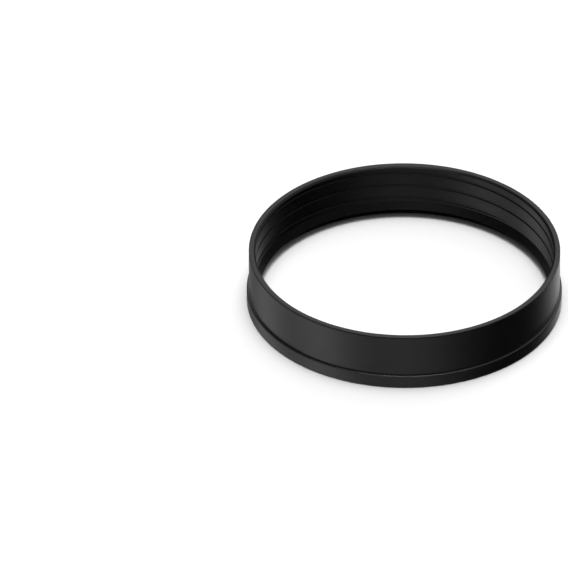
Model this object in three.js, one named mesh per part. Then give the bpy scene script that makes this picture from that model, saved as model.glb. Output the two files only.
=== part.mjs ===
// Short threaded ring of a 2 inch barlow: a foot ring, a plain sleeve standing on it, and a
// threaded bush that screws into the foot ring and clamps the sleeve under its rim flange. The
// bore of the bush ends at its foot in a coned stop.
// Millimetres, +Z up. The ring's axis is Z and the foot stands on z = 0.

import * as THREE from "three";

// Overall sizes.
const SLEEVE_DIAMETER = 50.8; // plain outer wall
const OVERALL_HEIGHT = 9.65;

// Foot ring.
const FOOT_LEDGE = 0.35; // how far the foot stands out past the sleeve
const FOOT_HEIGHT = 2.28;
const FOOT_CHAMFER = 0.12;

// Sleeve.
const SLEEVE_WALL = 0.46;
const SLEEVE_EDGE_BREAK = 0.05;

// Threaded bush.
const BUSH_WALL = 0.59; // from its outside to the crest of the thread
const BUSH_STANDOFF = 0.9; // its lower outer edge above the surface the foot stands on
const STOP_REACH = 0.74; // how far the stop's edge stands in from the crest of the thread
const STOP_EDGE_HEIGHT = 1.63; // that edge above the surface the foot stands on
const STOP_CONE_HEIGHT = 1.24; // from the stop's edge up to where its cone meets the crest
const RIM_WIDTH = 0.78; // from the outer wall to the inner edge of the flat rim
const RIM_FLANGE_HEIGHT = 0.22;
const RIM_CHAMFER = 0.06;
const LEAD_IN_SLOPE = 1; // height over width of the cone between rim and thread

// Coarse right-hand groove in the bush, one start.
const THREAD_PITCH = 2.43;
const GROOVE_DEPTH = 0.13;
const GROOVE_MOUTH = 0.56;
const GROOVE_ROOT = 0.16;
const GROOVE_PHASE = 1.09; // height of its centre line where it crosses the +Y side
const GROOVE_END_LAND = 0.03; // least land between the groove's ends and the cones of the bore
const RUN_OUT_FACETS = 5; // facets over which the groove shallows out at each end

// Fits.
const RUNNING_CLEARANCE = 0.04; // bush in sleeve, radial
const SCREW_CLEARANCE = 0.05; // bush in foot ring, radial
const FACE_GAP = 0.03; // between faces that bear on each other

const SEGMENTS = 96; // facets around the axis, the same on every ring

const sleeveRadius = SLEEVE_DIAMETER / 2;
const sleeveBore = sleeveRadius - SLEEVE_WALL;
const bushRadius = sleeveBore - RUNNING_CLEARANCE;
const threadCrest = bushRadius - BUSH_WALL;
const footRadius = sleeveRadius + FOOT_LEDGE;
const footBore = bushRadius + SCREW_CLEARANCE;
const rimInner = sleeveRadius - RIM_WIDTH;
const leadInDepth = (rimInner - threadCrest) * LEAD_IN_SLOPE;
const flangeUnderside = OVERALL_HEIGHT - RIM_FLANGE_HEIGHT;
const sleeveTop = flangeUnderside - FACE_GAP;
const sleeveBottom = FOOT_HEIGHT + FACE_GAP;

// A ring turned about Z from a closed outline of [radius, height] points, listed counter-clockwise.
function turned(outline) {
  const points = [...outline, outline[0]].map(([r, z]) => new THREE.Vector2(r, z));
  const geometry = new THREE.LatheGeometry(points, SEGMENTS);
  geometry.rotateX(Math.PI / 2);
  return geometry;
}

function footRing() {
  return turned([
    [footBore, 0],
    [footRadius - FOOT_CHAMFER, 0],
    [footRadius, FOOT_CHAMFER],
    [footRadius, FOOT_HEIGHT - FOOT_CHAMFER],
    [footRadius - FOOT_CHAMFER, FOOT_HEIGHT],
    [footBore, FOOT_HEIGHT],
  ]);
}

function outerSleeve() {
  return turned([
    [sleeveBore, sleeveBottom],
    [sleeveRadius - SLEEVE_EDGE_BREAK, sleeveBottom],
    [sleeveRadius, sleeveBottom + SLEEVE_EDGE_BREAK],
    [sleeveRadius, sleeveTop - SLEEVE_EDGE_BREAK],
    [sleeveRadius - SLEEVE_EDGE_BREAK, sleeveTop],
    [sleeveBore, sleeveTop],
  ]);
}

// The bush is one closed mesh. Its outside is turned like the other rings, and the helical groove
// is built into its bore: a point on a land or the groove is [radius, height] in the column of
// facets that it stands in.
function threadedBush() {
  const positions = [];
  const faces = [];
  const columnOf = (step) => ((step % SEGMENTS) + SEGMENTS) % SEGMENTS;

  function vertex(column, r, z) {
    const angle = Math.PI / 2 + (column / SEGMENTS) * 2 * Math.PI;
    positions.push(r * Math.cos(angle), r * Math.sin(angle), z);
    return positions.length / 3 - 1;
  }
  // A convex polygon, its corners listed counter-clockwise as seen from outside the metal.
  function polygon(...corners) {
    for (let i = 1; i < corners.length - 1; i++) {
      faces.push(corners[0], corners[i], corners[i + 1]);
    }
  }

  const boreBottom = STOP_EDGE_HEIGHT + STOP_CONE_HEIGHT;
  const boreTop = OVERALL_HEIGHT - leadInDepth;
  const outline = [
    [threadCrest, boreBottom],
    [threadCrest - STOP_REACH, STOP_EDGE_HEIGHT],
    [bushRadius, BUSH_STANDOFF],
    [bushRadius, flangeUnderside],
    [sleeveRadius, flangeUnderside],
    [sleeveRadius, OVERALL_HEIGHT - RIM_CHAMFER],
    [sleeveRadius - RIM_CHAMFER, OVERALL_HEIGHT],
    [rimInner, OVERALL_HEIGHT],
    [threadCrest, boreTop],
  ];
  const circles = outline.map(([r, z]) =>
    Array.from({ length: SEGMENTS }, (_, column) => vertex(column, r, z)),
  );
  for (let i = 0; i < circles.length - 1; i++) {
    for (let column = 0; column < SEGMENTS; column++) {
      const next = (column + 1) % SEGMENTS;
      polygon(circles[i][column], circles[i][next], circles[i + 1][next], circles[i + 1][column]);
    }
  }
  const bottomEdge = (step) => circles[0][columnOf(step)];
  const topEdge = (step) => circles[circles.length - 1][columnOf(step)];

  // The groove runs from just above the stop's cone to just below the lead-in cone.
  const clearance = GROOVE_MOUTH / 2 + GROOVE_END_LAND;
  const stepAt = (height) => ((height - GROOVE_PHASE) / THREAD_PITCH) * SEGMENTS;
  const first = Math.ceil(stepAt(boreBottom + clearance));
  const last = Math.floor(stepAt(boreTop - clearance));

  // Each step holds the corners of the groove from its lower edge to its upper edge, or one point
  // at either end.
  const section = [
    [0, -GROOVE_MOUTH / 2],
    [GROOVE_DEPTH, -GROOVE_ROOT / 2],
    [GROOVE_DEPTH, GROOVE_ROOT / 2],
    [0, GROOVE_MOUTH / 2],
  ];
  const groove = new Map();
  for (let step = first; step <= last; step++) {
    const height = GROOVE_PHASE + (step / SEGMENTS) * THREAD_PITCH;
    const share = Math.min(1, (step - first) / RUN_OUT_FACETS, (last - step) / RUN_OUT_FACETS);
    const points = share > 0 ? section : [[0, 0]];
    groove.set(
      step,
      points.map(([depth, z]) => vertex(columnOf(step), threadCrest + share * depth, height + share * z)),
    );
  }
  const lowerEdge = (step) => groove.get(step)[0];
  const upperEdge = (step) => groove.get(step).at(-1);

  for (let step = first; step < last; step++) {
    const here = groove.get(step);
    const next = groove.get(step + 1);
    // Flanks and root.
    for (let i = 0; i < section.length - 1; i++) {
      if (here.length === 1) polygon(next[i], here[0], next[i + 1]);
      else if (next.length === 1) polygon(next[0], here[i], here[i + 1]);
      else polygon(next[i], here[i], here[i + 1], next[i + 1]);
    }
    // The land below, down to the turn underneath or to the stop's cone.
    if (step - SEGMENTS >= first) {
      const below = [upperEdge(step + 1 - SEGMENTS), upperEdge(step - SEGMENTS)];
      polygon(...below, lowerEdge(step), lowerEdge(step + 1));
    } else if (step + 1 - SEGMENTS === first) {
      const edge = [lowerEdge(step + 1), upperEdge(first), bottomEdge(step + 1), bottomEdge(step)];
      polygon(lowerEdge(step), ...edge);
    } else {
      polygon(bottomEdge(step + 1), bottomEdge(step), lowerEdge(step), lowerEdge(step + 1));
    }
    // The land above the last turn, up to the lead-in cone.
    if (step + SEGMENTS === last) {
      const edge = [topEdge(step + 1), upperEdge(step + 1), upperEdge(step), lowerEdge(last)];
      polygon(...edge, topEdge(step));
    } else if (step + SEGMENTS > last) {
      polygon(upperEdge(step + 1), upperEdge(step), topEdge(step), topEdge(step + 1));
    }
  }

  const geometry = new THREE.BufferGeometry();
  geometry.setAttribute("position", new THREE.BufferAttribute(new Float32Array(positions), 3));
  geometry.setIndex(faces);
  geometry.computeVertexNormals();
  return geometry;
}

// Each ring's satin black finish differs a little, as three parts from three batches do.
const blackFoot = new THREE.MeshStandardMaterial({ color: 0x17171a, roughness: 0.42, metalness: 0.2 });
const blackSleeve = new THREE.MeshStandardMaterial({ color: 0x1b1b1e, roughness: 0.38, metalness: 0.2 });
const blackBush = new THREE.MeshStandardMaterial({ color: 0x141416, roughness: 0.5, metalness: 0.2 });

const group = new THREE.Group();
for (const [name, geometry, material] of [
  ["foot_ring", footRing(), blackFoot],
  ["outer_sleeve", outerSleeve(), blackSleeve],
  ["threaded_bush", threadedBush(), blackBush],
]) {
  const mesh = new THREE.Mesh(geometry, material);
  mesh.name = name;
  group.add(mesh);
}

export default group;
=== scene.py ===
"""A short threaded ring of a 2 inch barlow: foot ring, sleeve and threaded bush, in satin black."""

import math

import bmesh
import bpy
from bpy.props import FloatProperty, FloatVectorProperty, IntProperty, PointerProperty
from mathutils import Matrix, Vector


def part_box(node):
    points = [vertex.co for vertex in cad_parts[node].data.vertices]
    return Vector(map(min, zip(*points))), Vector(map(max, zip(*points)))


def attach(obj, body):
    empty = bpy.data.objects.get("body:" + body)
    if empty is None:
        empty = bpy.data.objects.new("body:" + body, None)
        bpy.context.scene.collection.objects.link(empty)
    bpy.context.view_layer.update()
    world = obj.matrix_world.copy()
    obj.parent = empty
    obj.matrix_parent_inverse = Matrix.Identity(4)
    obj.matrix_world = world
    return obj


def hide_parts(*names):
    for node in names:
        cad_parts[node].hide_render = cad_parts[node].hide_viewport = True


bl_info = {
    "name": "Barlow Ring",
    "version": (1, 0, 0),
    "blender": (4, 5, 0),
    "location": "View3D > Sidebar > Barlow Ring",
    "description": "Builds a satin black threaded ring in three turned parts, with its stage",
    "category": "Add Mesh",
}

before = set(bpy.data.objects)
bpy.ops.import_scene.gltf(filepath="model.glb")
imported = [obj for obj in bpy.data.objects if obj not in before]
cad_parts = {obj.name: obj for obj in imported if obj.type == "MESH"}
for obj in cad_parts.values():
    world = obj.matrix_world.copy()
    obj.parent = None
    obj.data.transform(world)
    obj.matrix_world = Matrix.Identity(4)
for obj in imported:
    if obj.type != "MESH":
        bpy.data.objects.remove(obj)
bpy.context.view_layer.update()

MM = 0.001
FOOT_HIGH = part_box("foot_ring")[1]
SLEEVE_LOW, SLEEVE_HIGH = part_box("outer_sleeve")
BUSH_LOW, BUSH_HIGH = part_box("threaded_bush")


class RingSizes(bpy.types.PropertyGroup):
    """Sizes of the three turned parts. Outer sizes come from the frame."""

    foot_radius: FloatProperty(
        name="Foot radius", description="Outside of the foot ring",
        default=FOOT_HIGH[0], unit="LENGTH", precision=5)
    foot_height: FloatProperty(
        name="Foot height", description="Height of the foot ring",
        default=FOOT_HIGH[2], unit="LENGTH", precision=5)
    foot_chamfer: FloatProperty(
        name="Foot chamfer", description="Chamfer on both outer edges of the foot ring",
        default=0.12 * MM, unit="LENGTH", precision=5)
    sleeve_radius: FloatProperty(
        name="Sleeve radius", description="Outside of the plain sleeve",
        default=SLEEVE_HIGH[0], unit="LENGTH", precision=5)
    sleeve_wall: FloatProperty(
        name="Sleeve wall", description="Thickness of the plain sleeve",
        default=0.46 * MM, unit="LENGTH", precision=5)
    bush_wall: FloatProperty(
        name="Bush wall", description="Thickness of the bush from its outside to the thread crest",
        default=0.59 * MM, unit="LENGTH", precision=5)
    bush_gap: FloatProperty(
        name="Bush clearance", description="Radial clearance of the bush in the sleeve",
        default=0.04 * MM, unit="LENGTH", precision=5)
    screw_gap: FloatProperty(
        name="Screw clearance", description="Radial clearance of the bush in the foot ring",
        default=0.05 * MM, unit="LENGTH", precision=5)
    rim_width: FloatProperty(
        name="Rim width", description="From the outer wall to the inner edge of the flat rim",
        default=0.78 * MM, unit="LENGTH", precision=5)
    rim_flange: FloatProperty(
        name="Rim flange", description="Thickness of the rim flange that clamps the sleeve",
        default=0.22 * MM, unit="LENGTH", precision=5)
    rim_chamfer: FloatProperty(
        name="Rim chamfer", description="Chamfer on the rim's outer edge",
        default=0.06 * MM, unit="LENGTH", precision=5)
    lead_in: FloatProperty(
        name="Lead-in height", description="Height of the cone between the rim and the thread",
        default=0.31 * MM, unit="LENGTH", precision=5)
    stop_reach: FloatProperty(
        name="Stop reach", description="How far the stop's edge stands in from the thread crest",
        default=0.74 * MM, unit="LENGTH", precision=5)
    stop_edge: FloatProperty(
        name="Stop edge height", description="Height of the stop's edge over the floor",
        default=1.63 * MM, unit="LENGTH", precision=5)
    stop_cone: FloatProperty(
        name="Stop cone height", description="From the stop's edge up to the thread crest",
        default=1.24 * MM, unit="LENGTH", precision=5)
    edge_round: FloatProperty(
        name="Edge rounding", description="Radius left on every turned edge",
        default=0.03 * MM, unit="LENGTH", precision=5)
    columns: IntProperty(
        name="Columns", description="Facets around each ring", default=720, min=96)


class ThreadSizes(bpy.types.PropertyGroup):
    """Sizes of the coarse groove in the bush."""

    pitch: FloatProperty(
        name="Pitch", description="Rise of the groove in one turn",
        default=2.43 * MM, unit="LENGTH", precision=5)
    depth: FloatProperty(
        name="Depth", description="Depth of the groove below the crest",
        default=0.13 * MM, unit="LENGTH", precision=5)
    mouth: FloatProperty(
        name="Mouth", description="Width of the groove at the crest",
        default=0.56 * MM, unit="LENGTH", precision=5)
    root: FloatProperty(
        name="Root", description="Width of the groove at its root",
        default=0.16 * MM, unit="LENGTH", precision=5)
    phase: FloatProperty(
        name="Phase", description="Height of the groove's centre line on the +Y side",
        default=1.09 * MM, unit="LENGTH", precision=5)
    end_land: FloatProperty(
        name="End land", description="Least land between the groove's ends and the bore's edges",
        default=0.03 * MM, unit="LENGTH", precision=5)
    run_out: FloatProperty(
        name="Run-out", description="Rise over which the groove shallows out at each end",
        default=0.13 * MM, unit="LENGTH", precision=5)


class RingFinish(bpy.types.PropertyGroup):
    """Colours and gloss of the satin black parts and of the stage."""

    body_black: FloatVectorProperty(
        name="Black", description="Colour of the anodised parts", subtype="COLOR",
        default=(0.004, 0.004, 0.0042), min=0, max=1)
    foot_roughness: FloatProperty(
        name="Foot roughness", description="Roughness of the foot ring",
        default=0.3, min=0, max=1, subtype="FACTOR")
    sleeve_roughness: FloatProperty(
        name="Sleeve roughness", description="Roughness of the sleeve",
        default=0.3, min=0, max=1, subtype="FACTOR")
    bush_roughness: FloatProperty(
        name="Bush roughness", description="Roughness of the threaded bush",
        default=0.3, min=0, max=1, subtype="FACTOR")
    bore_roughness: FloatProperty(
        name="Foot bore roughness", description="Roughness of the dull bore of the foot ring",
        default=0.8, min=0, max=1, subtype="FACTOR")
    outer_gloss: FloatProperty(
        name="Outer gloss", description="Index of refraction of the foot ring and the sleeve",
        default=1.8, min=1, max=3)
    bush_gloss: FloatProperty(
        name="Bush gloss", description="Index of refraction of the bush",
        default=1.5, min=1, max=3)
    # A low gloss in the foot ring's bore is painted shade: it darkens the bore where shade falls under
    # the stop.
    bore_shade_gloss: FloatProperty(
        name="Foot bore gloss", description="Index of refraction of the dull bore of the foot ring",
        default=1.15, min=1, max=3)
    outer_grain: FloatProperty(
        name="Outer grain", description="Blasted grain of the foot ring and the sleeve",
        default=0.8, min=0, max=1, subtype="FACTOR")
    bush_grain: FloatProperty(
        name="Bush grain", description="Blasted grain of the bush",
        default=0.9, min=0, max=1, subtype="FACTOR")
    turning_lines: FloatProperty(
        name="Turning lines", description="Lines that the cutting tool left on the outer faces",
        default=0.3, min=0, max=1, subtype="FACTOR")
    bore_marks: FloatProperty(
        name="Foot bore marks", description="Grain and turning lines of the foot ring's bore",
        default=0.5, min=0, max=1, subtype="FACTOR")
    floor_white: FloatVectorProperty(
        name="Floor", description="Colour of the floor", subtype="COLOR",
        default=(0.92, 0.92, 0.92), min=0, max=1)


class StudioLights(bpy.types.PropertyGroup):
    """Strengths of the soft glows round the object."""

    surround: FloatProperty(
        name="Surround", description="Glow from everywhere", default=0.003, min=0)
    overhead: FloatProperty(
        name="Overhead", description="Tight softbox straight overhead", default=17.5, min=0)
    key: FloatProperty(
        name="Key", description="Softbox behind, to the right and above", default=1.6, min=0)
    key_spill: FloatProperty(
        name="Key spill", description="Wide glow round the key", default=0.4, min=0)
    rim_back: FloatProperty(
        name="Back", description="Softbox behind that lights the flat rim", default=0.55, min=0)
    high_back: FloatProperty(
        name="High back", description="Softbox high behind the object", default=0.6, min=0)
    high_right: FloatProperty(
        name="High right", description="Softbox high on the right", default=0.45, min=0)
    front_high: FloatProperty(
        name="Front fill", description="Weak fill from above the viewer", default=0.22, min=0)
    back_low: FloatProperty(
        name="Back bounce", description="Bounce from low behind the object", default=0.9, min=0)
    right_low: FloatProperty(
        name="Right bounce", description="Bounce from low behind, to the right", default=0.15, min=0)
    left_back_low: FloatProperty(
        name="Left back bounce", description="Bounce from low behind, to the left", default=0.65, min=0)
    left_low: FloatProperty(
        name="Left bounce", description="Bounce from low on the left", default=0.8, min=0)
    front_low: FloatProperty(
        name="Front bounce", description="Bounce from low in front", default=0.3, min=0)


# ---------------------------------------------------------------- turned rings

ROUND_STEPS = 4  # segments in each rounded edge
EDGE_SHARE = 0.4  # the most of an edge that the rounding of one corner may take


def rounded(outline, radius):
    """The closed outline of [radius, height] corners with each corner rounded off."""
    points = []
    count = len(outline)
    for i in range(count):
        corner = Vector(outline[i])
        back = Vector(outline[i - 1]) - corner
        on = Vector(outline[(i + 1) % count]) - corner
        half = back.angle(on) / 2
        reach = min(radius / math.tan(half), EDGE_SHARE * back.length, EDGE_SHARE * on.length)
        start = corner + back.normalized() * reach
        end = corner + on.normalized() * reach
        for step in range(ROUND_STEPS + 1):
            t = step / ROUND_STEPS
            points.append(start.lerp(corner, t).lerp(corner.lerp(end, t), t))
    return points


def turned(name, outline, columns, closed=True):
    """A mesh object turned about Z from an outline listed counter-clockwise."""
    bm = bmesh.new()
    rings = []
    for r, z in outline:
        rings.append([
            bm.verts.new((r * math.cos(a), r * math.sin(a), z))
            for a in (2 * math.pi * i / columns for i in range(columns))])
    pairs = list(zip(rings, rings[1:]))
    if closed:
        pairs.append((rings[-1], rings[0]))
    for low, high in pairs:
        for i in range(columns):
            j = (i + 1) % columns
            bm.faces.new((low[i], low[j], high[j], high[i]))
    mesh = bpy.data.meshes.new(name)
    bm.to_mesh(mesh)
    bm.free()
    piece = bpy.data.objects.new(name, mesh)
    bpy.context.collection.objects.link(piece)
    return piece


EDGE_ANGLE = math.radians(30)  # sharper edges than this stay crisp


def smooth(piece):
    """Smooth shading that keeps flats flat and edges crisp."""
    piece.data.shade_smooth()
    weigh = piece.modifiers.new("Flat faces", "WEIGHTED_NORMAL")
    weigh.keep_sharp = True
    weigh.weight = 100
    piece.data.set_sharp_from_angle(angle=EDGE_ANGLE)


# ---------------------------------------------------------------- the thread

class Tree:
    """Shorthand for building a node tree."""

    def __init__(self, tree):
        self.tree = tree

    def add(self, kind, **settings):
        node = self.tree.nodes.new(kind)
        for key, value in settings.items():
            setattr(node, key, value)
        return node

    def wire(self, value, socket):
        if hasattr(value, "is_output"):
            self.tree.links.new(value, socket)
        else:
            socket.default_value = value

    def math(self, operation, *values):
        node = self.add("ShaderNodeMath", operation=operation)
        for value, socket in zip(values, node.inputs):
            self.wire(value, socket)
        return node.outputs[0]

    def remap(self, value, low, high, to_low, to_high, kind="LINEAR"):
        node = self.add("ShaderNodeMapRange", interpolation_type=kind, clamp=True)
        for item, socket in zip((value, low, high, to_low, to_high), node.inputs):
            self.wire(item, socket)
        return node.outputs[0]


GROOVE_ROWS = 16  # rows of faces across the groove
LAND_ROWS = 4  # rows of faces across the land between two turns
GROOVE_ZONE = 0.62  # half the height that the groove's rows cover, in mouths of the groove
MERGE = 2e-7  # metres; joins the rows that end on either edge of the bore
WELD = 1e-6  # metres; joins the threaded wall to the turned shell
TINY = 1e-7  # metres; the least width of the groove's mouth, and of a face that is kept


def thread_tree():
    """Geometry nodes that wind the wall of a threaded bore: a land and a groove, turn on turn."""
    group = bpy.data.node_groups.new("Threaded bore", "GeometryNodeTree")
    face = group.interface
    for name in ("Crest radius", "Bottom", "Top", "Pitch", "Depth", "Mouth", "Root", "Phase",
                 "End land", "Run-out"):
        socket = face.new_socket(name=name, in_out="INPUT", socket_type="NodeSocketFloat")
        socket.subtype = "DISTANCE"
    face.new_socket(name="Columns", in_out="INPUT", socket_type="NodeSocketInt")
    face.new_socket(name="Material", in_out="INPUT", socket_type="NodeSocketMaterial")
    face.new_socket(name="Geometry", in_out="OUTPUT", socket_type="NodeSocketGeometry")
    t = Tree(group)
    given = t.add("NodeGroupInput").outputs
    result = t.add("NodeGroupOutput")

    rows = LAND_ROWS + GROOVE_ROWS
    # The strip starts a whole turn under the bore and ends a turn over it.
    first_turn = t.math("SUBTRACT", t.math("FLOOR", t.math(
        "DIVIDE", t.math("SUBTRACT", given["Bottom"], given["Phase"]), given["Pitch"])), 1.0)
    last_turn = t.math("ADD", t.math("CEIL", t.math(
        "DIVIDE", t.math("SUBTRACT", given["Top"], given["Phase"]), given["Pitch"])), 1.0)
    steps = t.math("MULTIPLY", t.math("SUBTRACT", last_turn, first_turn), given["Columns"])
    grid = t.add("GeometryNodeMeshGrid")
    t.wire(t.math("ADD", steps, 1.0), grid.inputs["Vertices X"])
    grid.inputs["Vertices Y"].default_value = rows + 1

    index = t.add("GeometryNodeInputIndex").outputs[0]
    step = t.math("FLOOR", t.math("DIVIDE", t.math("ADD", index, 0.5), rows + 1.0))
    row = t.math("SUBTRACT", index, t.math("MULTIPLY", step, rows + 1.0))

    # Height of a row from the groove's centre line: half the land, the groove, half the land.
    half_pitch = t.math("MULTIPLY", given["Pitch"], 0.5)
    half_zone = t.math("MULTIPLY", given["Mouth"], GROOVE_ZONE)
    land = LAND_ROWS / 2.0
    low_land = t.remap(row, 0.0, land, t.math("MULTIPLY", half_pitch, -1.0),
                       t.math("MULTIPLY", half_zone, -1.0))
    zone = t.remap(row, land, rows - land, 0.0, t.math("MULTIPLY", half_zone, 2.0))
    high_land = t.remap(row, rows - land, float(rows), 0.0,
                        t.math("SUBTRACT", half_pitch, half_zone))
    offset = t.math("ADD", low_land, t.math("ADD", zone, high_land))

    turn = t.math("ADD", first_turn, t.math("DIVIDE", step, given["Columns"]))
    centre = t.math("ADD", given["Phase"], t.math("MULTIPLY", turn, given["Pitch"]))
    angle = t.math("ADD", t.math("MULTIPLY", turn, 2 * math.pi), math.pi / 2)

    # The groove shallows out before it meets either edge of the bore.
    margin = t.math("ADD", t.math("MULTIPLY", given["Mouth"], 0.5), given["End land"])
    over_bottom = t.math("SUBTRACT", centre, t.math("ADD", given["Bottom"], margin))
    under_top = t.math("SUBTRACT", t.math("SUBTRACT", given["Top"], margin), centre)
    share = t.remap(t.math("MINIMUM", over_bottom, under_top), 0.0, given["Run-out"], 0.0, 1.0,
                    "SMOOTHSTEP")
    half_mouth = t.math("MULTIPLY", t.math("MULTIPLY", given["Mouth"], 0.5), share)
    half_root = t.math("MULTIPLY", t.math("MULTIPLY", given["Root"], 0.5), share)
    cut = t.remap(t.math("ABSOLUTE", offset), half_root, t.math("ADD", half_mouth, TINY),
                  t.math("MULTIPLY", given["Depth"], share), 0.0, "SMOOTHSTEP")
    radius = t.math("ADD", given["Crest radius"], cut)
    height = t.math("MAXIMUM", given["Bottom"], t.math("MINIMUM", given["Top"],
                    t.math("ADD", centre, offset)))

    place = t.add("ShaderNodeCombineXYZ")
    t.wire(t.math("MULTIPLY", radius, t.math("COSINE", angle)), place.inputs[0])
    t.wire(t.math("MULTIPLY", radius, t.math("SINE", angle)), place.inputs[1])
    t.wire(height, place.inputs[2])
    bend = t.add("GeometryNodeSetPosition")
    t.wire(grid.outputs["Mesh"], bend.inputs["Geometry"])
    t.wire(place.outputs[0], bend.inputs["Position"])
    merge = t.add("GeometryNodeMergeByDistance")
    t.wire(bend.outputs["Geometry"], merge.inputs["Geometry"])
    merge.inputs["Distance"].default_value = MERGE
    real = t.add("GeometryNodeRealizeInstances")
    t.wire(merge.outputs["Geometry"], real.inputs["Geometry"])
    dress = t.add("GeometryNodeSetMaterial")
    t.wire(real.outputs["Geometry"], dress.inputs["Geometry"])
    t.wire(given["Material"], dress.inputs["Material"])
    t.wire(dress.outputs["Geometry"], result.inputs[0])
    return group


def grown(name, tree, **values):
    """The plain mesh that a node tree makes from the named values."""
    host = bpy.data.objects.new(name, bpy.data.meshes.new(name))
    bpy.context.collection.objects.link(host)
    modifier = host.modifiers.new(tree.name, "NODES")
    modifier.node_group = tree
    for item in tree.interface.items_tree:
        if item.in_out == "INPUT" and item.name in values:
            modifier[item.identifier] = values[item.name]
    bpy.context.view_layer.update()
    seen = host.evaluated_get(bpy.context.evaluated_depsgraph_get())
    mesh = bpy.data.meshes.new_from_object(seen)
    host.modifiers.remove(modifier)
    host.data = mesh
    return host


# ---------------------------------------------------------------- finishes

# How fine the noises are, per metre.
CLOUD_SCALE = 220.0
SPECKLE_SCALE = 5000.0
BLAST_SCALE = 6000.0
LINE_SCALE = 9000.0

LINE_STRETCH = (0.02, 0.02, 1.0)  # draws the noise out into lines round the axis
BLAST_DEPTH = 0.04 * MM
LINE_DEPTH = 0.004 * MM
SPECKLE_SPAN = (0.35, 0.65)  # of the noise, from the darkest speck to the palest
DARK_SPECK, PALE_SPECK = 0.2, 1.8  # shares of the colour
CLOUD_SPAN = (0.3, 0.7)  # of the noise, from the smoothest patch to the roughest
ROUGHNESS_SPREAD = 0.02


def satin_black(name, colour, roughness, gloss, grain, lines):
    """Black anodised metal: speckled, with a blasted grain and faint turning lines over it."""
    material = bpy.data.materials.new(name)
    material.use_nodes = True
    t = Tree(material.node_tree)
    shader = material.node_tree.nodes["Principled BSDF"]
    where = t.add("ShaderNodeTexCoord").outputs["Object"]

    def noise(scale, detail, stretch=(1, 1, 1)):
        fit = t.add("ShaderNodeMapping")
        t.wire(where, fit.inputs["Vector"])
        fit.inputs["Scale"].default_value = stretch
        node = t.add("ShaderNodeTexNoise")
        t.wire(fit.outputs[0], node.inputs["Vector"])
        node.inputs["Scale"].default_value = scale
        node.inputs["Detail"].default_value = detail
        return node.outputs["Fac"]

    speckle = t.remap(noise(SPECKLE_SCALE, 1.0), *SPECKLE_SPAN, 0.0, 1.0)
    shade = t.add("ShaderNodeMix", data_type="RGBA")
    t.wire(speckle, shade.inputs["Factor"])
    shade.inputs["A"].default_value = (*(c * DARK_SPECK for c in colour), 1)
    shade.inputs["B"].default_value = (*(c * PALE_SPECK for c in colour), 1)
    t.wire(shade.outputs["Result"], shader.inputs["Base Color"])
    uneven = t.remap(noise(CLOUD_SCALE, 3.0), *CLOUD_SPAN,
                     roughness - ROUGHNESS_SPREAD, roughness + ROUGHNESS_SPREAD)
    t.wire(uneven, shader.inputs["Roughness"])
    fine = t.add("ShaderNodeBump")
    fine.inputs["Strength"].default_value = grain
    fine.inputs["Distance"].default_value = BLAST_DEPTH
    t.wire(noise(BLAST_SCALE, 2.0), fine.inputs["Height"])
    turning = t.add("ShaderNodeBump")
    turning.inputs["Strength"].default_value = lines
    turning.inputs["Distance"].default_value = LINE_DEPTH
    t.wire(noise(LINE_SCALE, 1.0, LINE_STRETCH), turning.inputs["Height"])
    t.wire(fine.outputs[0], turning.inputs["Normal"])
    t.wire(turning.outputs[0], shader.inputs["Normal"])
    shader.inputs["Metallic"].default_value = 0.0
    shader.inputs["IOR"].default_value = gloss
    return material


# ---------------------------------------------------------------- operators

def stand_in(piece, node, body, material):
    """Ends a piece: its finish, the CAD node that it replaces and the body that it rides on."""
    piece.data.materials.clear()
    piece.data.materials.append(material)
    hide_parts(node)
    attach(piece, body)


class OBJECT_OT_barlow_foot(bpy.types.Operator):
    """Turns the foot ring that the object stands on"""

    bl_idname = "object.barlow_foot"
    bl_label = "Foot Ring"

    def execute(self, context):
        s, look = context.scene.barlow_sizes, context.scene.barlow_finish
        bore = s.sleeve_radius - s.sleeve_wall - s.bush_gap + s.screw_gap
        edge = s.foot_chamfer
        outline = [
            (bore, 0.0),
            (s.foot_radius - edge, 0.0),
            (s.foot_radius, edge),
            (s.foot_radius, s.foot_height - edge),
            (s.foot_radius - edge, s.foot_height),
            (bore, s.foot_height),
        ]
        piece = turned("foot_ring_turned", rounded(outline, s.edge_round), s.columns)
        smooth(piece)
        material = satin_black("Foot black", look.body_black, look.foot_roughness,
                               look.outer_gloss, look.outer_grain, look.turning_lines)
        stand_in(piece, "foot_ring", "foot", material)
        # The bore is duller than the outside: its low gloss is painted shade, which darkens the bore
        # low down under the stop, near the floor.
        piece.data.materials.append(satin_black(
            "Foot bore painted shade", look.body_black, look.bore_roughness,
            look.bore_shade_gloss, look.bore_marks, look.bore_marks))
        for face in piece.data.polygons:
            if math.hypot(face.center.x, face.center.y) < bore + s.edge_round:
                face.material_index = 1
        return {"FINISHED"}


class OBJECT_OT_barlow_sleeve(bpy.types.Operator):
    """Turns the plain sleeve that stands on the foot ring"""

    bl_idname = "object.barlow_sleeve"
    bl_label = "Sleeve"

    def execute(self, context):
        s, look = context.scene.barlow_sizes, context.scene.barlow_finish
        bore = s.sleeve_radius - s.sleeve_wall
        low, high = SLEEVE_LOW[2], SLEEVE_HIGH[2]
        outline = [(bore, low), (s.sleeve_radius, low), (s.sleeve_radius, high), (bore, high)]
        piece = turned("outer_sleeve_turned", rounded(outline, s.edge_round), s.columns)
        smooth(piece)
        material = satin_black("Sleeve black", look.body_black, look.sleeve_roughness,
                               look.outer_gloss, look.outer_grain, look.turning_lines)
        stand_in(piece, "outer_sleeve", "sleeve", material)
        return {"FINISHED"}


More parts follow.
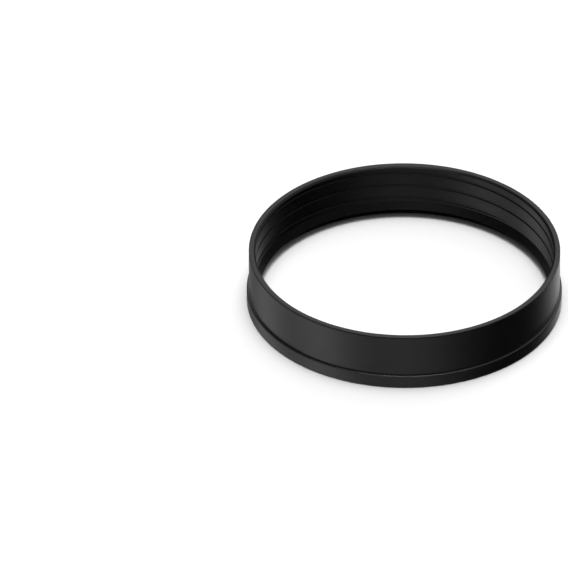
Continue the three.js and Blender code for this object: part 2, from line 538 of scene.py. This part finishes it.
class OBJECT_OT_barlow_bush(bpy.types.Operator):
    """Turns the threaded bush and winds the groove into its bore"""

    bl_idname = "object.barlow_bush"
    bl_label = "Threaded Bush"

    def execute(self, context):
        s, th = context.scene.barlow_sizes, context.scene.barlow_thread
        look = context.scene.barlow_finish
        material = satin_black("Bush black", look.body_black, look.bush_roughness,
                               look.bush_gloss, look.bush_grain, look.turning_lines)
        outside = s.sleeve_radius - s.sleeve_wall - s.bush_gap
        crest = outside - s.bush_wall
        low, high = BUSH_LOW[2], BUSH_HIGH[2]
        under = high - s.rim_flange
        inner = s.sleeve_radius - s.rim_width
        bottom, top = s.stop_edge + s.stop_cone, high - s.lead_in
        corners = [
            (crest, bottom),
            (crest - s.stop_reach, s.stop_edge),
            (outside, low),
            (outside, under),
            (s.sleeve_radius, under),
            (s.sleeve_radius, high - s.rim_chamfer),
            (s.sleeve_radius - s.rim_chamfer, high),
            (inner, high),
            (crest, top),
        ]
        # The threaded wall closes the outline, from its last point down to its first.
        outline = rounded(corners, s.edge_round)
        shell = turned("threaded_bush_turned", outline, s.columns, closed=False)
        wall = grown(
            "threaded_wall", thread_tree(),
            **{"Crest radius": crest, "Bottom": outline[0].y, "Top": outline[-1].y,
               "Pitch": th.pitch, "Depth": th.depth, "Mouth": th.mouth, "Root": th.root,
               "Phase": th.phase, "End land": th.end_land, "Run-out": th.run_out,
               "Columns": s.columns, "Material": material})
        joined = bmesh.new()
        joined.from_mesh(shell.data)
        joined.from_mesh(wall.data)
        bmesh.ops.remove_doubles(joined, verts=joined.verts[:], dist=WELD)
        bmesh.ops.dissolve_degenerate(joined, edges=joined.edges[:], dist=TINY)
        bmesh.ops.recalc_face_normals(joined, faces=joined.faces[:])
        if not all(edge.is_manifold for edge in joined.edges):
            raise RuntimeError("the threaded bush is not closed")
        joined.to_mesh(shell.data)
        joined.free()
        bpy.data.objects.remove(wall)
        smooth(shell)
        stand_in(shell, "threaded_bush", "bush", material)
        return {"FINISHED"}


# Azimuth from +X towards +Y and elevation, in degrees, and how tight the glow is.
SOFTBOXES = {
    "overhead": (0, 90, 40),
    "key": (60, 34, 40),
    "key_spill": (45, 34, 7),
    "rim_back": (90, 34, 7),
    "high_back": (120, 65, 7),
    "high_right": (0, 65, 7),
    "front_high": (255, 34, 7),
    "back_low": (80, -34, 15),
    "right_low": (60, -34, 20),
    "left_back_low": (150, -34, 20),
    "left_low": (205, -34, 16),
    "front_low": (270, -34, 7),
}


def studio(lights):
    """A world of soft glows, one for each softbox, on a dark surround."""
    world = bpy.data.worlds.new("Studio")
    world.use_nodes = True
    t = Tree(world.node_tree)
    where = t.add("ShaderNodeTexCoord").outputs["Generated"]
    total = lights.surround
    for name, (azimuth, elevation, tightness) in SOFTBOXES.items():
        turn, rise = math.radians(azimuth), math.radians(elevation)
        facing = t.add("ShaderNodeVectorMath", operation="DOT_PRODUCT")
        t.wire(where, facing.inputs[0])
        facing.inputs[1].default_value = (
            math.cos(turn) * math.cos(rise), math.sin(turn) * math.cos(rise), math.sin(rise))
        glow = t.math("POWER", t.math("MAXIMUM", facing.outputs["Value"], 0.0), tightness)
        total = t.math("ADD", t.math("MULTIPLY", glow, getattr(lights, name)), total)
    background = world.node_tree.nodes["Background"].inputs
    t.wire(total, background["Strength"])
    background["Color"].default_value = (1, 1, 1, 1)
    return world


VIEW_ELEVATION = math.radians(34.3)
LENS_PER_WIDTH = 22.155  # focal length over the sensor's width, a long lens

# Lengths of the stage, in sleeve radii.
VIEW_DISTANCE = 81.0
SIDE_STEP, LIFT = -0.7737, 0.0925  # of the camera, so that the ring stands right of the middle
FLOOR_REACH = 40.0

FLOOR_ROUGHNESS = 0.9


class OBJECT_OT_barlow_stage(bpy.types.Operator):
    """Lays the pale floor and sets the camera and the studio lights"""

    bl_idname = "object.barlow_stage"
    bl_label = "Stage"

    def execute(self, context):
        scene = context.scene
        s, look = scene.barlow_sizes, scene.barlow_finish
        radius = s.sleeve_radius
        forward = Vector((0, math.cos(VIEW_ELEVATION), -math.sin(VIEW_ELEVATION)))
        upward = Vector((0, math.sin(VIEW_ELEVATION), math.cos(VIEW_ELEVATION)))
        camera = bpy.data.cameras.new("Camera")
        camera.sensor_width = 36.0
        camera.lens = camera.sensor_width * LENS_PER_WIDTH
        camera.clip_end = 20.0
        eye = bpy.data.objects.new("Camera", camera)
        eye.location = (Vector((SIDE_STEP, 0, 0)) + LIFT * upward - VIEW_DISTANCE * forward) * radius
        eye.rotation_euler = (math.pi / 2 - VIEW_ELEVATION, 0, 0)
        context.collection.objects.link(eye)
        scene.camera = eye

        mesh = bpy.data.meshes.new("Floor")
        half = FLOOR_REACH * radius
        mesh.from_pydata([(-half, -half, 0), (half, -half, 0), (half, half, 0), (-half, half, 0)],
                         [], [(0, 1, 2, 3)])
        floor = bpy.data.objects.new("Floor", mesh)
        # The glows below the horizon are what the ring's walls reflect, so the floor lets them by.
        floor.visible_glossy = False
        floor.visible_shadow = False
        context.collection.objects.link(floor)
        white = bpy.data.materials.new("Pale floor")
        white.use_nodes = True
        paint = white.node_tree.nodes["Principled BSDF"].inputs
        paint["Base Color"].default_value = (*look.floor_white, 1)
        paint["Roughness"].default_value = FLOOR_ROUGHNESS
        mesh.materials.append(white)

        scene.world = studio(scene.barlow_lights)
        scene.view_settings.view_transform = "Standard"
        return {"FINISHED"}


class VIEW3D_PT_barlow(bpy.types.Panel):
    """Lists the sizes, the finish and the steps"""

    bl_idname = "VIEW3D_PT_barlow"
    bl_label = "Barlow Ring"
    bl_space_type = "VIEW_3D"
    bl_region_type = "UI"
    bl_category = "Barlow Ring"

    def draw(self, context):
        for group in (context.scene.barlow_sizes, context.scene.barlow_thread,
                      context.scene.barlow_finish, context.scene.barlow_lights):
            box = self.layout.box()
            for key in group.__annotations__:
                box.prop(group, key)
        for step in STEPS:
            self.layout.operator(step.bl_idname)


GROUPS = (RingSizes, ThreadSizes, RingFinish, StudioLights)
STEPS = (OBJECT_OT_barlow_stage, OBJECT_OT_barlow_foot, OBJECT_OT_barlow_sleeve,
         OBJECT_OT_barlow_bush)


def register():
    for cls in (*GROUPS, *STEPS, VIEW3D_PT_barlow):
        bpy.utils.register_class(cls)
    bpy.types.Scene.barlow_sizes = PointerProperty(type=RingSizes)
    bpy.types.Scene.barlow_thread = PointerProperty(type=ThreadSizes)
    bpy.types.Scene.barlow_finish = PointerProperty(type=RingFinish)
    bpy.types.Scene.barlow_lights = PointerProperty(type=StudioLights)


def unregister():
    del bpy.types.Scene.barlow_sizes
    del bpy.types.Scene.barlow_thread
    del bpy.types.Scene.barlow_finish
    del bpy.types.Scene.barlow_lights
    for cls in reversed((*GROUPS, *STEPS, VIEW3D_PT_barlow)):
        bpy.utils.unregister_class(cls)


def main():
    register()
    bpy.ops.object.barlow_stage()
    bpy.ops.object.barlow_foot()
    bpy.ops.object.barlow_sleeve()
    bpy.ops.object.barlow_bush()


if __name__ == "__main__":
    main()
